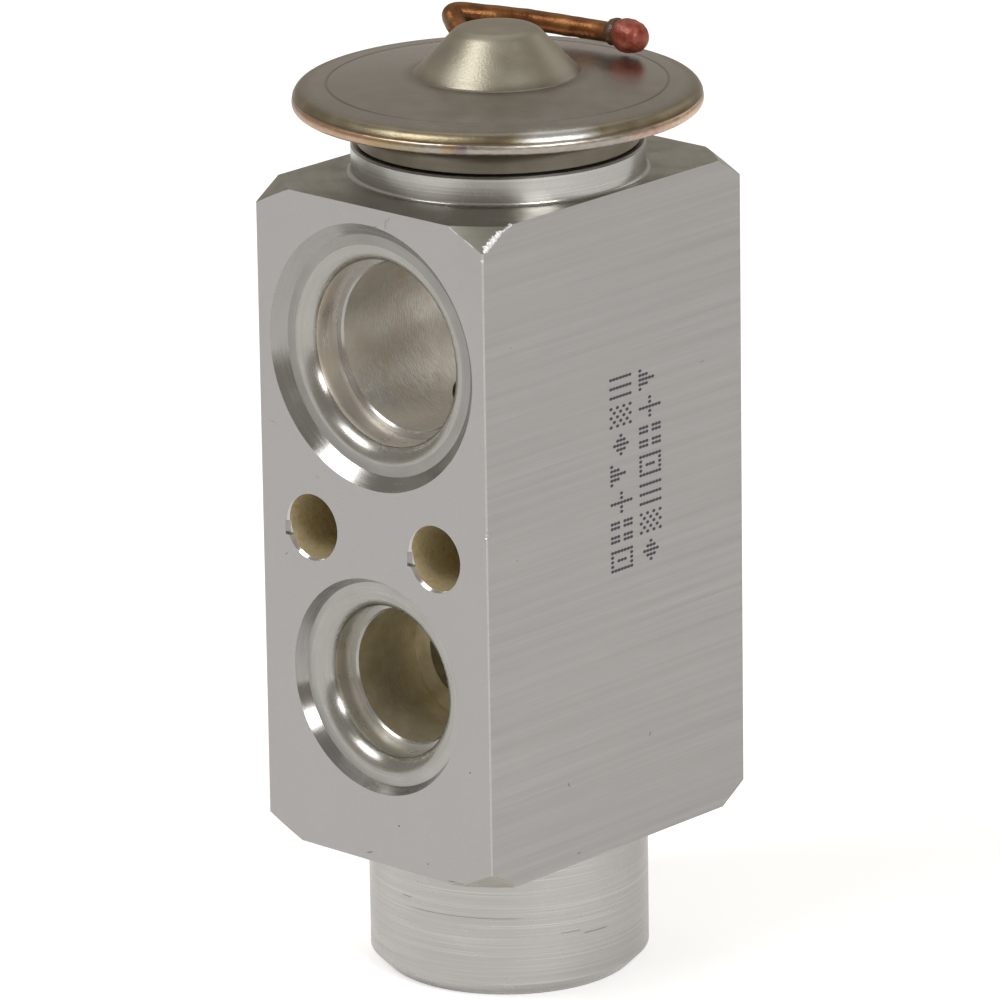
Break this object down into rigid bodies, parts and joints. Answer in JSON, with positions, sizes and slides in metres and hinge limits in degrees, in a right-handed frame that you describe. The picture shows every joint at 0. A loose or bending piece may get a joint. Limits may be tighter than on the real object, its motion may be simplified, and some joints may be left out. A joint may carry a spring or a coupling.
{
  "type": "thermostatic expansion valve",
  "caption": "Block-type thermostatic expansion valve: machined aluminium block with suction and liquid ports and a welded steel power head with a curled copper charge tube.",
  "frame": {"origin": "centre of the lower boss's end face, on the valve's axis", "axes": "+Z along the valve's axis, up to the power head; -Y out of the front face with the suction inlet and the liquid outlet; X across the block's width"},
  "size_m": [0.0404, 0.0404, 0.096],
  "materials": {
    "block_aluminium": "machined, fine brushed",
    "rod_aluminium": "turned",
    "head_steel": "satin, heat tinted at the rim",
    "weld_steel": "weld bead with heat tint",
    "inner_steel": "turned",
    "spring_steel": "drawn wire and strip",
    "ball_steel": "polished",
    "tube_copper": "drawn copper, browned",
    "tube_solder": "copper-red glossy bead",
    "screw_brass": "turned",
    "seal_rubber": "moulded"
  },
  "bodies": {
    "housing": {"valve_body": "block_aluminium", "head_base": "head_steel", "diaphragm": "spring_steel", "head_cover": "head_steel", "rim_weld": "weld_steel", "head_seal": "seal_rubber", "charge_tube": "tube_copper", "tube_root_braze": "tube_copper", "tube_tip": "tube_solder", "rod_seal_ring": "seal_rubber", "rod_seal_retainer": "spring_steel", "superheat_spring": "spring_steel"},
    "valve_train": {"thrust_disc": "inner_steel", "sensing_rod": "rod_aluminium", "push_pin": "inner_steel", "valve_ball": "ball_steel", "ball_carrier": "screw_brass", "carrier_damper": "spring_steel"},
    "adjuster_carriage": {"adjuster_seal": "seal_rubber"},
    "adjuster": {"adjusting_screw": "screw_brass"}
  },
  "joints": [
    {"name": "valve_stroke", "type": "slide", "parent": "housing", "child": "valve_train", "axis": [0, 0, -1], "range_m": [0, 0.0008], "stiffness_N_per_m": 2000, "springref_m": -0.003, "deforming": ["superheat_spring", "diaphragm"]},
    {"name": "adjuster_travel", "type": "slide", "parent": "housing", "child": "adjuster_carriage", "axis": [0, 0, 1], "range_m": [-0.0005, 0.0005]},
    {"name": "adjuster_turn", "type": "hinge", "parent": "adjuster_carriage", "child": "adjuster", "pos_m": [0, 0, 0.005], "axis": [0, 0, 1], "range_deg": [-180, 180]}
  ],
  "couplings": [
    {"joint": "adjuster_turn", "follows": "adjuster_travel", "rad_per_m": 6283.2}
  ]
}
